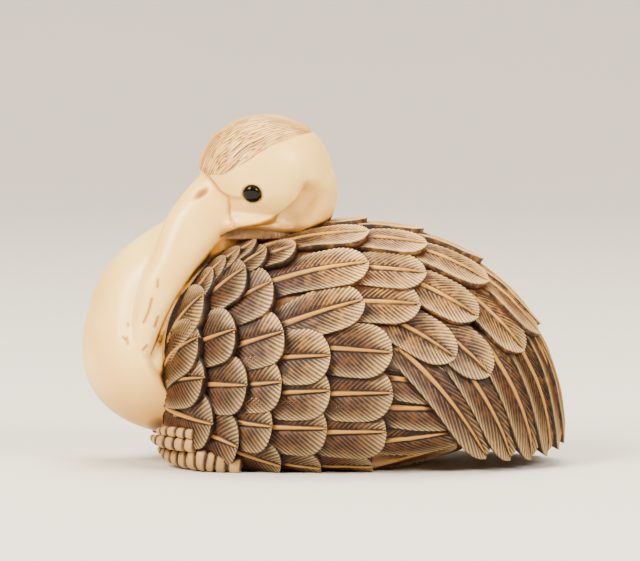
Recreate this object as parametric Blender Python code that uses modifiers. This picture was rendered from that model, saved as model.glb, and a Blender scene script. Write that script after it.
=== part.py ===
# Netsuke of a resting crane: the neck folded forward, the head turned back onto it and the long
# beak laid down along its left side. One carved block with two inlaid horn eyes.
# The breast looks along -X, the bird's left side looks along -Y, and it stands on its belly at Z = 0.
import math

import bmesh
import bpy
import numpy as np
from mathutils import Vector

# Driving dimensions, in metres
figure_length = 0.0482  # breast to tail
figure_width = 0.0278  # across the folded wings
figure_height = 0.0348  # belly to crown
feather_lift = 0.00055  # how far a feather's tip stands off the one behind it
feather_depth = 0.0013  # solid stock under a feather's face, sunk into the body
plume_depth = 0.0023  # the same under the drooping plumes, which hang clear of the belly
eye_diameter = 0.0018
eye_peg_length = 0.0016  # from the head's surface inwards
eye_dome = 0.00045  # how far the eye stands out of the head
eye_clearance = 0.0001  # round the inlaid peg, and under its end
eye_segments = 16
eye_dome_steps = 4
cord_hole_diameter = 0.0030
knot_hole_diameter = 0.0037  # the wider mouth, which hides the cord's knot
cord_hole_spacing = 0.0085  # between the centres of the two mouths
cord_channel_place = 0.0073  # from the origin to halfway between them, towards the tail
cord_channel_overrun = 0.002  # the cutter's ends below the belly
cord_channel_bends = 11

# The carving keeps its pose as shares of the length: one share is a 48.2nd of it, about a millimetre.
# Heights are shares of the figure's height in the same way, 35.5 of them from belly to crown.
share = figure_length / 48.2
rise_share = figure_height / 35.5

# The body's dome, in shares: a superellipsoid with its own reach each way from its centre
dome_centre = (2.5, 0.0, 4.1)
dome_reach_back = 21.0
dome_reach_front = 19.8
dome_reach_up = 20.5
dome_reach_down = 5.2
dome_fullness = 2.37  # the superellipsoid's power at its middle
fullness_change = 0.3  # less of it towards the tail, more towards the breast
fullness_run = 4.0  # over about this length
belly_rise = 0.2  # how fast the belly rises behind the middle, per share of length
plume_reach_down = 9.5  # the steeper skirt that the drooping plumes follow
half_width = (figure_width / 2 - 0.7 * feather_lift) / share
low_narrowing = 0.10  # the flanks draw in towards the belly by this share of their width
widest_height = 9.0
spine_start, spine_end, spine_height = -8.0, 10.0, 6.0  # the inner line that all carving faces from
ray_reach = 60.0  # more than the figure's length, from any place inside it
ray_halvings = 40
slope_step = 0.02  # between the two places that a slope is taken from

# Feather rows, from the back's ridge or the row's top down to its lowest feather. The tips lie along
# a line of (X, Z) places in side view, headings are degrees above the tail's direction at the row's
# two ends, and lengths and widths are in shares.
feather_rows = {
    "flight_feathers": dict(
        count=5, tips=((12.7, 10.4), (15.9, 5.8), (13.2, 2.2)), heading=(-14, 8), turn=-4,
        length=(9.0, 9.0), width=(4.0, 4.0), lift=0.75),
    "long_coverts": dict(
        count=4, tips=((6.5, 12.2), (6.4, 6.4), (4.6, 1.0)), heading=(-4, 5), turn=-3,
        length=(7.6, 7.6), width=(4.6, 4.6), lift=0.95),
    "short_coverts": dict(
        count=4, tips=((0.5, 12.0), (0.4, 6.8), (-0.4, 0.9)), heading=(2, 0), turn=-3,
        length=(6.8, 6.8), width=(4.6, 4.6), lift=1.1),
    "shoulder_rear": dict(
        count=5, tips=((-5.1, 19.0), (-4.0, 14.3), (-4.2, 9.4), (-5.1, 5.0), (-4.3, 1.2)),
        heading=(20, -8), turn=0, length=(5.6, 5.2), width=(6.0, 5.6), lift=1.25),
    "shoulder_middle": dict(
        count=4, tips=((-7.6, 20.2), (-8.6, 14.4), (-7.5, 9.0), (-8.4, 3.0)), heading=(20, -10),
        turn=0, length=(5.2, 5.2), width=(5.2, 6.2), lift=1.35),
    "shoulder_front": dict(
        count=4, tips=((-11.5, 17.6), (-12.0, 13.5), (-11.6, 9.6), (-10.8, 5.1)), heading=(14, -4),
        turn=0, length=(5.0, 4.8), width=(5.0, 5.6), lift=1.5),
    "nape_tufts": dict(
        count=2, tips=((-2.8, 22.3), (-5.6, 21.9)), heading=(4, 16), turn=0,
        length=(4.6, 4.2), width=(3.4, 3.6), lift=1.2),
    "back_front": dict(
        count=4, tips=((4.2, 24.6), (4.3, 22.2), (3.7, 17.3)), heading=(0, 15), turn=-6, ridge=True,
        length=(8.0, 8.0), width=(4.4, 4.0), lift=1.2),
    "back_middle": dict(
        count=4, tips=((9.8, 23.3), (10.0, 21.0), (9.2, 16.8)), heading=(-14, -2), turn=-10,
        ridge=True, length=(8.0, 7.6), width=(4.4, 4.0), lift=1.05),
    "back_rear": dict(
        count=4, tips=((15.6, 20.4), (15.6, 17.0), (12.6, 11.6)), heading=(-34, -36), turn=-16,
        ridge=True, length=(8.6, 9.4), width=(4.6, 4.4), lift=1.1),
    "rump": dict(
        count=3, tips=((21.0, 13.8), (20.6, 12.8), (17.6, 10.2)), heading=(-58, -36), turn=-18,
        ridge=True, length=(8.4, 9.0), width=(5.4, 5.0), lift=1.0),
    "drooping_plumes": dict(
        count=7, tips=((23.4, 2.8), (22.6, 1.9), (20.0, 1.4), (15.6, 1.9)), heading=(-86, -58),
        turn=-26, ridge=True, length=(11.0, 14.6), width=(4.6, 3.8), lift=1.2, plumes=True),
}
feather_outline = ((0.0, 0.74), (0.45, 1.0), (0.84, 0.88), (1.0, 0.42))  # along, half width
feather_root_sink = 0.75  # a feather's root lies this many lifts under the body's face
shaft_rise = 0.22  # of a lift, at a feather's middle line
overlap_tilt = 0.32  # of a lift: the lower edge lies over the next feather, the upper edge under one
path_steps = 12  # along a feather's middle line
ridge_half_width = 0.01  # a tip nearer to the middle than this belongs to a feather on the ridge

# The neck from inside the breast round the fold to the nape: (X, Y, Z, half thickness) in shares
neck_line = (
    (-5.0, 0.0, 8.4, 4.8), (-10.0, 0.2, 8.0, 5.2), (-14.8, 0.5, 8.3, 5.6), (-18.1, 0.6, 10.9, 6.2),
    (-18.3, 0.6, 16.4, 4.9), (-15.5, 0.5, 20.1, 4.2), (-11.4, 0.2, 22.6, 3.6), (-6.4, -0.2, 24.0, 2.9),
    (-2.5, -0.7, 25.5, 2.9), (-1.5, -1.2, 28.4, 2.7), (-3.4, -1.4, 31.2, 2.6))
neck_breadth = 1.22  # its width across the bird, against its thickness
neck_rings, neck_segments = 24, 16
bend_room = 0.5  # rings keep to this share of the way to the middle of a bend
breast_centre = (-12.4, 0.3, 13.0)  # fills the neck's fold, under the beak
breast_reach = (6.0, 7.6, 9.0)
breast_segments, breast_rings = 14, 10
head_centre = (-5.9, -1.4, 29.8)
head_reach = (6.6, 5.3, 5.7)
head_segments, head_rings = 20, 12
eye_place = (-7.2, 27.7)  # X and Z in side view
# The beak from inside the head to its tip: (X, Y, Z, half height, half thickness) in shares
beak_line = (
    (-8.6, -1.7, 29.0, 2.7, 2.0), (-10.4, -2.2, 27.1, 3.1, 2.4), (-13.1, -3.2, 23.9, 2.95, 2.3),
    (-14.9, -4.0, 20.6, 2.35, 2.1), (-16.5, -4.6, 17.6, 2.0, 1.8), (-17.6, -4.95, 14.5, 1.5, 1.45),
    (-18.2, -5.1, 11.6, 1.0, 1.1), (-18.5, -5.05, 9.6, 0.6, 0.75), (-18.7, -4.95, 7.9, 0.25, 0.45))
beak_squareness = 2.5
beak_rings, beak_segments = 16, 10
# Folded legs along the breast's lower edge, seen as ribbed bands: (X, Z) in side view, half thickness
leg_bands = (
    dict(path=((-16.3, 4.0), (-14.6, 4.1), (-12.6, 4.0)), thickness=0.65, ribs=4),
    dict(path=((-16.9, 2.85), (-14.8, 2.8), (-12.6, 2.75)), thickness=0.8, ribs=5),
    dict(path=((-16.2, 1.4), (-14.4, 1.25), (-12.4, 1.2)), thickness=1.0, ribs=4),
    dict(path=((-13.0, 1.5), (-11.0, 1.4), (-8.4, 1.2)), thickness=1.25, ribs=4),
)
leg_segments = 8
leg_end = 0.6  # a band's ends, against its thickness
scute_depth = 0.16
ground_block = (70.0, 50.0, 12.0)  # cuts the flat belly: longer, wider and deeper than the figure


def metres(point):
    x, y, z = point
    return Vector((x * share, y * share, z * rise_share))


def tidy_scene():
    for obj in list(bpy.data.objects):
        bpy.data.objects.remove(obj)


def new_collection(name):
    collection = bpy.data.collections.new(name)
    bpy.context.scene.collection.children.link(collection)
    return collection


def material(name, colour, roughness):
    made = bpy.data.materials.new(name)
    made.use_nodes = True
    shader = made.node_tree.nodes["Principled BSDF"]
    shader.inputs["Base Color"].default_value = (*colour, 1.0)
    shader.inputs["Roughness"].default_value = roughness
    shader.inputs["Metallic"].default_value = 0.0
    return made


def add_object(name, bm, collection, helper=False):
    bmesh.ops.recalc_face_normals(bm, faces=bm.faces)
    mesh = bpy.data.meshes.new(name)
    bm.to_mesh(mesh)
    bm.free()
    mesh.shade_smooth()
    mesh.set_sharp_from_angle(angle=math.radians(40))
    obj = bpy.data.objects.new(name, mesh)
    collection.objects.link(obj)
    if helper:
        obj.hide_render = True
        obj.display_type = "WIRE"
    return obj


def dome_level(points, plumes=False):
    """Below 1 inside the body's dome, 1 on its face. Points are an array of places in shares."""
    x, y, z = (points - np.array(dome_centre)).T
    power = dome_fullness - fullness_change * x / np.hypot(x, fullness_run)
    reach_x = np.where(x > 0, dome_reach_back, dome_reach_front)
    below = dome_reach_down - belly_rise * np.clip(x - 2.0, 0.0, 16.0)
    below = plume_reach_down if plumes else below
    reach_z = np.where(z > 0, dome_reach_up, below)
    lowness = np.clip(1.0 - points[:, 2] / widest_height, 0.0, 1.0)
    reach_y = half_width * (1.0 - low_narrowing * lowness**2)
    return np.abs(x / reach_x) ** power + np.abs(y / reach_y) ** power + np.abs(z / reach_z) ** power


def along_rays(starts, directions, plumes=False):
    """Where rays from inside the dome meet its face, by halving."""
    near = np.zeros(len(starts))
    far = np.full(len(starts), ray_reach)
    for _ in range(ray_halvings):
        middle = (near + far) / 2
        inside = dome_level(starts + directions * middle[:, None], plumes) < 1.0
        near = np.where(inside, middle, near)
        far = np.where(inside, far, middle)
    return starts + directions * near[:, None]


def onto_dome(points, plumes=False):
    points = np.atleast_2d(np.array(points, float))
    starts = np.zeros_like(points)
    starts[:, 0] = np.clip(points[:, 0], spine_start, spine_end)
    starts[:, 2] = spine_height
    outward = points - starts
    outward /= np.linalg.norm(outward, axis=1)[:, None]
    return along_rays(starts, outward, plumes)


def dome_normals(points, plumes=False):
    slope = [
        dome_level(points + offset, plumes) - dome_level(points - offset, plumes)
        for offset in np.eye(3) * slope_step
    ]
    slope = np.array(slope).T
    return slope / np.linalg.norm(slope, axis=1)[:, None]


def side_point(x, z, plumes=False):
    """The place on the dome's left face that side view shows at X, Z, or the nearest on its outline."""
    start = np.array([[x, 0.0, z]])
    if dome_level(start, plumes)[0] >= 1.0:
        return onto_dome(start, plumes)[0]
    return along_rays(start, np.array([[0.0, -1.0, 0.0]]), plumes)[0]


def loft(name, rings, collection):
    """A closed skin through rings of points."""
    bm = bmesh.new()
    loops = [[bm.verts.new(metres(point)) for point in ring] for ring in rings]
    for first, second in zip(loops, loops[1:]):
        for i in range(len(first)):
            j = (i + 1) % len(first)
            bm.faces.new((first[i], first[j], second[j], second[i]))
    bm.faces.new(loops[0])
    bm.faces.new(loops[-1])
    return add_object(name, bm, collection, helper=True)


def smooth_line(stations, count):
    """Points evenly along a Catmull-Rom curve through the stations."""
    stations = np.array(stations, float)
    padded = np.vstack([2 * stations[0] - stations[1], stations, 2 * stations[-1] - stations[-2]])
    found = []
    for place in np.linspace(0.0, len(stations) - 1.0, count):
        i = min(int(place), len(stations) - 2)
        t = place - i
        a, b, c, d = padded[i:i + 4]
        found.append(0.5 * (2 * b + (c - a) * t + (2 * a - 5 * b + 4 * c - d) * t**2
                            + (3 * b - a - 3 * c + d) * t**3))
    return np.array(found)


def ring_round(centre, along, in_side_view, across, segments, power=2.0):
    """An oval ring square to a line: its half height in side view, and its half thickness across."""
    along = Vector(along).normalized()
    up = along.cross(Vector((0.0, 1.0, 0.0))).normalized()
    out = up.cross(along).normalized()
    ring = []
    for i in range(segments):
        angle = math.tau * i / segments
        c, s = math.cos(angle), math.sin(angle)
        c = math.copysign(abs(c) ** (2 / power), c)
        s = math.copysign(abs(s) ** (2 / power), s)
        ring.append(Vector(centre) + up * in_side_view * c + out * across * s)
    return ring


def swept(name, line, rings, segments, collection, power=2.0):
    """A loft along a line whose stations are (X, Y, Z, half height, half thickness)."""
    line = smooth_line(line, rings)
    along = np.gradient(line[:, :3], axis=0)
    speed = np.linalg.norm(along, axis=1)[:, None]
    along /= speed
    bend = np.gradient(along, axis=0) / speed
    sharpness = np.linalg.norm(bend, axis=1)
    sharpest = [sharpness[max(i - 2, 0):i + 3].max() for i in range(rings)]
    made = []
    for station, direction, turn, sharp in zip(line, along, bend, sharpest):
        ring = ring_round(station[:3], direction, station[3], station[4], segments, power)
        inward = Vector(turn).normalized()
        room = min(1.0, bend_room / max(sharp * station[3], 1e-9))
        centre = Vector(station[:3])
        for point in ring:
            reach = (point - centre).dot(inward)
            if reach > 0:
                point -= inward * reach * (1 - room)
        made.append(ring)
    return loft(name, made, collection)


def body_dome(collection):
    bm = bmesh.new()
    bmesh.ops.create_icosphere(bm, subdivisions=3, radius=1.0)
    outward = np.array([vertex.co.normalized() for vertex in bm.verts])
    starts = np.zeros_like(outward) + (dome_centre[0], 0.0, spine_height)
    for vertex, place in zip(bm.verts, along_rays(starts, outward)):
        vertex.co = metres(place)
    return add_object("body_dome", bm, collection)


def oval_form(name, centre, reach, segments, rings, collection):
    bm = bmesh.new()
    bmesh.ops.create_uvsphere(bm, u_segments=segments, v_segments=rings, radius=1.0)
    for vertex in bm.verts:
        vertex.co = metres([c + p * r for c, p, r in zip(centre, vertex.co, reach)])
    return add_object(name, bm, collection, helper=True)


def leg_form(name, band, side, collection):
    """One ribbed band of a folded leg, half sunk along the breast's lower edge."""
    rings = 2 * band["ribs"] + 1
    line = smooth_line([side_point(x, z) for x, z in band["path"]], rings)
    along = np.gradient(line, axis=0)
    made = []
    for i, (place, direction) in enumerate(zip(line, along)):
        at_end = i in (0, rings - 1)
        radius = band["thickness"] * (leg_end if at_end else 1.0)
        radius -= scute_depth if i % 2 == 0 else 0.0
        ring = ring_round(place, direction, radius, radius, leg_segments)
        made.append([(x, y * side, z) for x, y, z in ring])
    return loft(name, made, collection)


def feather_path(tip, heading, turn, length, plumes):
    """Places and directions from a feather's root to its tip, marched back over the dome."""
    places, directions = [], []
    place = np.array(tip)
    for k in range(path_steps + 1):
        angle = math.radians(heading - turn * k / path_steps)
        normal = dome_normals(place[None], plumes)[0]
        wanted = np.array((math.cos(angle), 0.0, math.sin(angle)))
        direction = wanted - normal * (wanted @ normal)
        direction /= np.linalg.norm(direction)
        places.append(place)
        directions.append(direction)
        place = onto_dome(place - direction * length / path_steps, plumes)[0]
    return np.array(places[::-1]), np.array(directions[::-1])


def feather_form(name, tip, side, heading, turn, length, width, lift, plumes, collection):
    """One overlapping feather: a curved plate with a raised middle line, sunk at its root."""
    places, directions = feather_path(tip, heading, turn, length, plumes)
    along = np.linspace(0.0, 1.0, len(places))
    bm = bmesh.new()
    bmesh.ops.create_grid(bm, x_segments=2, y_segments=len(feather_outline) - 1, size=0.5)
    rows = np.array([round((vertex.co.y + 0.5) * (len(feather_outline) - 1)) for vertex in bm.verts])
    columns = np.array([round(vertex.co.x * 2) for vertex in bm.verts])
    s = np.array([feather_outline[row][0] for row in rows])
    half = np.array([feather_outline[row][1] for row in rows]) * width / 2
    place = np.stack([np.interp(s, along, places[:, i]) for i in range(3)], axis=1)
    direction = np.stack([np.interp(s, along, directions[:, i]) for i in range(3)], axis=1)
    across = np.cross(direction, dome_normals(place, plumes))
    across /= np.linalg.norm(across, axis=1)[:, None]
    on_ridge = tip[1] > -ridge_half_width
    across *= np.where(on_ridge | (across[:, 2] < 0), 1.0, -1.0)[:, None]
    skin = onto_dome(place + across * (half * columns)[:, None], plumes)
    step = feather_lift / share
    rise = lift * (s * (1 + feather_root_sink) - feather_root_sink)
    rise = rise + np.where(columns == 0, shaft_rise, overlap_tilt * columns * (not on_ridge))
    top = skin + dome_normals(skin, plumes) * (step * rise)[:, None]
    for vertex, (x, y, z) in zip(bm.verts, top):
        vertex.co = metres((x, y * side, z))
    bmesh.ops.recalc_face_normals(bm, faces=bm.faces)
    outward = sum((face.normal * face.calc_area() for face in bm.faces), Vector())
    centre = metres(np.mean(places, axis=0) * (1, side, 1)) - metres((dome_centre[0], 0.0, spine_height))
    if outward.dot(centre) < 0:
        bmesh.ops.reverse_faces(bm, faces=bm.faces)
    mesh = bpy.data.meshes.new(name)
    bm.to_mesh(mesh)
    bm.free()
    obj = bpy.data.objects.new(name, mesh)
    obj.hide_render = True
    obj.display_type = "WIRE"
    collection.objects.link(obj)
    stock = obj.modifiers.new("stock", "SOLIDIFY")
    stock.thickness = plume_depth if plumes else feather_depth
    stock.offset = -1.0
    return obj


def row_tips(row):
    """The tips of a row, spread along its line over the dome."""
    plumes = row.get("plumes", False)
    line = [side_point(x, z, plumes) for x, z in row["tips"]]
    if row.get("ridge"):
        x, z = row["tips"][0]
        line[0] = onto_dome([(x, 0.0, z)], plumes)[0]
    return np.linspace(0.0, 1.0, row["count"]), onto_dome(smooth_line(line, row["count"]), plumes)


def wing_feathers(collection):
    for name, row in feather_rows.items():
        shares, tips = row_tips(row)
        for i, (t, tip) in enumerate(zip(shares, tips)):
            at_ridge = row.get("ridge", False) and i == 0
            for side, word in ((1, "left"), (-1, "right")):
                if at_ridge and side == -1:
                    continue
                heading, length, width = (
                    (1 - t) * row[key][0] + t * row[key][1] for key in ("heading", "length", "width")
                )
                feather_form(f"{name}_{word}_{i + 1}", tip, side, heading, row["turn"], length, width,
                             row["lift"], row.get("plumes", False), collection)


def eye_seats():
    """(place, outward direction) of the left and the right eye on the head, in shares."""
    x, z = eye_place
    across = 1 - ((x - head_centre[0]) / head_reach[0]) ** 2 - ((z - head_centre[2]) / head_reach[2]) ** 2
    reach = head_reach[1] * math.sqrt(across)
    found = {}
    for word, sign in (("left_eye", -1), ("right_eye", 1)):
        offset = Vector((x - head_centre[0], sign * reach, z - head_centre[2]))
        outward = Vector([c / r**2 for c, r in zip(offset, head_reach)]).normalized()
        found[word] = (Vector(head_centre) + offset, outward)
    return found


def turned(name, profile, collection, helper=False):
    """A solid turned about its own Z axis from a profile of (radius, height) points."""
    mesh = bpy.data.meshes.new(name)
    mesh.from_pydata([(r, 0.0, h) for r, h in profile], [(i, i + 1) for i in range(len(profile) - 1)], [])
    obj = bpy.data.objects.new(name, mesh)
    collection.objects.link(obj)
    screw = obj.modifiers.new("turn", "SCREW")
    screw.steps = screw.render_steps = eye_segments
    screw.use_merge_vertices = True
    screw.merge_threshold = 0.00001
    screw.use_smooth_shade = True
    if helper:
        obj.hide_render = True
        obj.display_type = "WIRE"
    return obj


def inlay_eyes(parts, cutters, horn):
    radius = eye_diameter / 2
    dome = [
        (radius * math.cos(angle), eye_dome * math.sin(angle))
        for angle in np.linspace(math.pi / 2, 0.0, eye_dome_steps)
    ]
    dome[0] = (0.0, eye_dome)
    peg = dome + [(radius, -eye_peg_length), (0.0, -eye_peg_length)]
    bore = radius + eye_clearance
    bottom = -eye_peg_length - eye_clearance
    socket = [(0.0, 2 * eye_dome), (bore, 2 * eye_dome), (bore, bottom), (0.0, bottom)]
    for name, (place, outward) in eye_seats().items():
        eye = turned(name, peg, parts)
        eye.data.materials.append(horn)
        seat = turned(f"{name}_socket", socket, cutters, helper=True)
        for obj in (eye, seat):
            obj.location = metres(place)
            obj.rotation_mode = "QUATERNION"
            obj.rotation_quaternion = outward.to_track_quat("Z", "Y")


def ground_cut(collection):
    """Everything below the flat belly, taken away."""
    bm = bmesh.new()
    bmesh.ops.create_cube(bm, size=1.0)
    bmesh.ops.scale(bm, vec=metres(ground_block), verts=bm.verts)
    bmesh.ops.translate(bm, vec=metres((0.0, 0.0, -ground_block[2] / 2)), verts=bm.verts)
    return add_object("ground_cut", bm, collection, helper=True)


def cord_channel(collection):
    """The himotoshi: a round passage in the belly from a narrow mouth to a wider one."""
    reach = cord_hole_spacing / 2
    below = -cord_channel_overrun
    curve = bpy.data.curves.new("cord_channel", "CURVE")
    curve.dimensions = "3D"
    curve.bevel_depth = 1.0
    curve.bevel_resolution = 2
    curve.use_fill_caps = True
    spline = curve.splines.new("POLY")
    arc = [(math.cos(angle), math.sin(angle)) for angle in np.linspace(0.0, math.pi, cord_channel_bends)]
    route = [(1.0, below / reach)] + arc + [(-1.0, below / reach)]
    spline.points.add(len(route) - 1)
    for i, (point, (c, s)) in enumerate(zip(spline.points, route)):
        t = i / (len(route) - 1)
        point.co = (cord_channel_place + reach * c, 0.0, reach * s, 1.0)
        point.radius = ((1 - t) * cord_hole_diameter + t * knot_hole_diameter) / 2
    bent = bpy.data.objects.new("cord_channel_line", curve)
    collection.objects.link(bent)
    graph = bpy.context.evaluated_depsgraph_get()
    mesh = bpy.data.meshes.new_from_object(bent.evaluated_get(graph))
    bm = bmesh.new()
    bm.from_mesh(mesh)
    bmesh.ops.remove_doubles(bm, verts=bm.verts, dist=1e-6)
    bpy.data.objects.remove(bent)
    return add_object("cord_channel", bm, collection, helper=True)


def boolean(obj, name, operation, collection=None, other=None):
    modifier = obj.modifiers.new(name, "BOOLEAN")
    modifier.operation = operation
    modifier.solver = "EXACT"
    if collection:
        modifier.operand_type = "COLLECTION"
        modifier.collection = collection
    else:
        modifier.object = other


def main():
    tidy_scene()
    parts = new_collection("crane_netsuke")
    carving = new_collection("carving_joined_to_the_body")
    cutters = new_collection("cutters")
    ivory = material("stained_ivory", (0.72, 0.58, 0.42), 0.35)
    horn = material("dark_horn", (0.012, 0.01, 0.009), 0.15)

    crane = body_dome(parts)
    crane.name = "crane"
    crane.data.materials.append(ivory)

    neck = [(x, y, z, r, r * neck_breadth) for x, y, z, r in neck_line]
    swept("neck_form", neck, neck_rings, neck_segments, carving)
    swept("beak_form", beak_line, beak_rings, beak_segments, carving, power=beak_squareness)
    oval_form("head_form", head_centre, head_reach, head_segments, head_rings, carving)
    oval_form("breast_form", breast_centre, breast_reach, breast_segments, breast_rings, carving)
    for word, side in (("left", 1), ("right", -1)):
        for i, band in enumerate(leg_bands):
            leg_form(f"leg_{word}_{i + 1}", band, side, carving)
    wing_feathers(carving)

    inlay_eyes(parts, cutters, horn)
    ground_cut(cutters)
    cord_channel(cutters)
    boolean(crane, "carving", "UNION", collection=carving)
    for cutter in cutters.objects:
        boolean(crane, cutter.name, "DIFFERENCE", other=cutter)


main()
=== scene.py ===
# The crane netsuke dressed: carved and stained ivory, feather by feather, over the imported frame.
# Places are in shares of the figure's size, about a millimetre each, as in the part's own source:
# the breast looks along -X, the bird's left side along -Y, and Z is up from the flat belly.
import math
from functools import partial

import bmesh
import bpy
import numpy as np
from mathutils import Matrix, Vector, noise
from mathutils.bvhtree import BVHTree


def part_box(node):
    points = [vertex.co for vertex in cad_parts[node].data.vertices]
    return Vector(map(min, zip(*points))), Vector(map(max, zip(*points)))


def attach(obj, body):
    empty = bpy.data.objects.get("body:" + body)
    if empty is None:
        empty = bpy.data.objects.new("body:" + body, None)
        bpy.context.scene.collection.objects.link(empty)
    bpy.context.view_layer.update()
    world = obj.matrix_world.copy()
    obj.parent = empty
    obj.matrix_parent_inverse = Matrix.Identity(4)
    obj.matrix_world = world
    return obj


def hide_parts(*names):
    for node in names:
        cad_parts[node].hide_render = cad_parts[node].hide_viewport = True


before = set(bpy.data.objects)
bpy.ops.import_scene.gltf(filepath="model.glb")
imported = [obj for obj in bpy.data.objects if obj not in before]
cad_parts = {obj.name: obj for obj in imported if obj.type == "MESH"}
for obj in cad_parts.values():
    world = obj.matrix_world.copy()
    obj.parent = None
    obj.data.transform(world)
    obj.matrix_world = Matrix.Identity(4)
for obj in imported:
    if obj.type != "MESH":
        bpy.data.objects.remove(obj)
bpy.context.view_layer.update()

# Sizes
share = 0.0482 / 48.2  # metres, along and across
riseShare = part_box("crane")[1][2] / 35.5  # metres, upwards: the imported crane's height
toMetres = np.array((share, share, riseShare))
rayReach = 60.0  # more than the figure's length
halvings = 30  # in each search along a ray or a barb
rng = np.random.default_rng(7)


def smoothStep(low, high, value):
    t = np.clip((value - low) / (high - low), 0.0, 1.0)
    return t * t * (3.0 - 2.0 * t)


def unit(vectors):
    return vectors / np.maximum(np.linalg.norm(vectors, axis=-1, keepdims=True), 1e-12)


# The body's dome, the surface that every feather follows
dome = dict(
    centre=(2.5, 0.0, 4.1), back=21.0, front=19.8, up=20.5, down=5.2, plumeDown=9.5,
    fullness=2.37, fullnessChange=0.3, fullnessRun=4.0,  # squarer towards the breast than towards the tail
    bellyRise=0.2, bellyFlat=2.0, bellyRun=16.0, halfWidth=13.515, narrowing=0.10, widest=9.0,
    spine=(-8.0, 10.0, 6.0))  # the inner line that all carving faces from: its two ends and its height


def domeLevel(points, plumes=False):
    x, y, z = (points - np.array(dome["centre"])).T
    power = dome["fullness"] - dome["fullnessChange"] * x / np.sqrt(x * x + dome["fullnessRun"] ** 2)
    reachX = np.where(x > 0, dome["back"], dome["front"])
    below = dome["down"] - dome["bellyRise"] * np.clip(x - dome["bellyFlat"], 0.0, dome["bellyRun"])
    below = dome["plumeDown"] if plumes else below
    reachZ = np.where(z > 0, dome["up"], below)
    lowness = np.clip(1.0 - points[:, 2] / dome["widest"], 0.0, 1.0)
    reachY = dome["halfWidth"] * (1.0 - dome["narrowing"] * lowness**2)
    return np.abs(x / reachX) ** power + np.abs(y / reachY) ** power + np.abs(z / reachZ) ** power


def alongRays(starts, directions, plumes=False):
    near = np.zeros(len(starts))
    far = np.full(len(starts), rayReach)
    for _ in range(halvings):
        middle = (near + far) / 2
        inside = domeLevel(starts + directions * middle[:, None], plumes) < 1.0
        near = np.where(inside, middle, near)
        far = np.where(inside, far, middle)
    return starts + directions * near[:, None]


def ontoDome(points, plumes=False):
    points = np.atleast_2d(np.array(points, float))
    starts = np.zeros_like(points)
    starts[:, 0] = np.clip(points[:, 0], dome["spine"][0], dome["spine"][1])
    starts[:, 2] = dome["spine"][2]
    return alongRays(starts, unit(points - starts), plumes)


def domeNormals(points, plumes=False):
    slope = [
        domeLevel(points + offset, plumes) - domeLevel(points - offset, plumes)
        for offset in np.eye(3) * 0.02
    ]
    return unit(np.array(slope).T)


def sidePoint(x, z, plumes=False):
    start = np.array([[x, 0.0, z]])
    if domeLevel(start, plumes)[0] >= 1.0:
        return ontoDome(start, plumes)[0]
    return alongRays(start, np.array([[0.0, -1.0, 0.0]]), plumes)[0]


def smoothLine(stations, count):
    # Points evenly along a Catmull-Rom curve through the stations.
    stations = np.array(stations, float)
    padded = np.vstack([2 * stations[0] - stations[1], stations, 2 * stations[-1] - stations[-2]])
    place = np.linspace(0.0, len(stations) - 1.0, count)
    i = np.minimum(place.astype(int), len(stations) - 2)
    t = (place - i)[:, None]
    a, b, c, d = (padded[i + k] for k in range(4))
    return 0.5 * (2 * b + (c - a) * t + (2 * a - 5 * b + 4 * c - d) * t**2 + (3 * b - a - 3 * c + d) * t**3)


# Mesh building
def linked(name, data):
    obj = bpy.data.objects.new(name, data)
    bpy.context.scene.collection.objects.link(obj)
    return obj


def giveValues(mesh, values):
    for key, numbers in values.items():
        mesh.attributes.new(key, "FLOAT", "POINT").data.foreach_set("value", np.asarray(numbers, np.float32))


def makeMesh(name, points, faces, values, flat=True):
    # A closed mesh from points in shares, with one number per point for each named value.
    if flat:
        points = points * np.where(points[:, 2:] < 0, (1, 1, 0), (1, 1, 1))  # the belly is ground flat
    mesh = bpy.data.meshes.new(name)
    mesh.from_pydata((points * toMetres).tolist(), [], faces)
    bm = bmesh.new()
    bm.from_mesh(mesh)
    bmesh.ops.recalc_face_normals(bm, faces=bm.faces)
    bm.to_mesh(mesh)
    bm.free()
    mesh.shade_smooth()
    giveValues(mesh, values)
    return linked(name, mesh)


def gathered(shells):
    # The points of several shells in one list, and their faces in another.
    points, faces, offset = [], [], 0
    for shellPoints, shellFaces in shells:
        points.append(shellPoints)
        faces += [tuple(i + offset for i in face) for face in shellFaces]
        offset += len(shellPoints)
    return np.concatenate(points), faces


def triangleCount(obj):
    return sum(len(p.vertices) - 2 for p in obj.data.polygons)


# Feathers
feather = dict(
    lift=0.46,  # one step of overlap
    depth=1.2,  # stock under a face
    plumeDepth=2.2,
    rootSink=0.75,  # of a feather's own lift, how far its root lies under the dome
    plumeSink=0.05,
    rootFall=1.7,  # long feathers' unseen roots dive under the wing, in steps
    ridgeLift=0.62,  # the ridge's shared feathers lie flatter
    tilt=(0.25, 0.70),  # of a step: the lower edge over the next feather, the upper edge under one
    rootSpare=0.75,  # how far the unseen root runs on, in lengths
    uneven=0.05,  # the hand's unevenness
    rootWidth=0.84,  # of the full width, which is reached at half the length
    tipStart=0.60,  # where the outline begins to round off towards the tip
    lastBarb=0.992,
    barbBend=0.28,  # how much a barb curves towards the tip
    barbPitch=0.33,  # between engraved lines, drawn coarser than the real 0.25 so that they show
    barbDepth=0.13,
    shaftHalf=(0.25, 0.05),  # half width at the root and at the tip
    shaftRise=0.10,
    shaftGroove=0.22,
    camber=0.24,  # the vane rises from the shaft to its outer edge
    shaftStops=(0.0, 0.14, 0.26, 0.42, 0.58),  # shares of the half width that shaft and groove keep within
    vaneStops=(0.22, 0.46, 0.72, 0.95, 1.0),  # columns between the shaft's groove and the edge
    foot=dict(groove=1.0, wearAndHighlight=0.0, root=1.0, shaft=0.0),  # values along the stock's lower edge, which paint its side wall dark as the shadow under the feather
)
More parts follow.
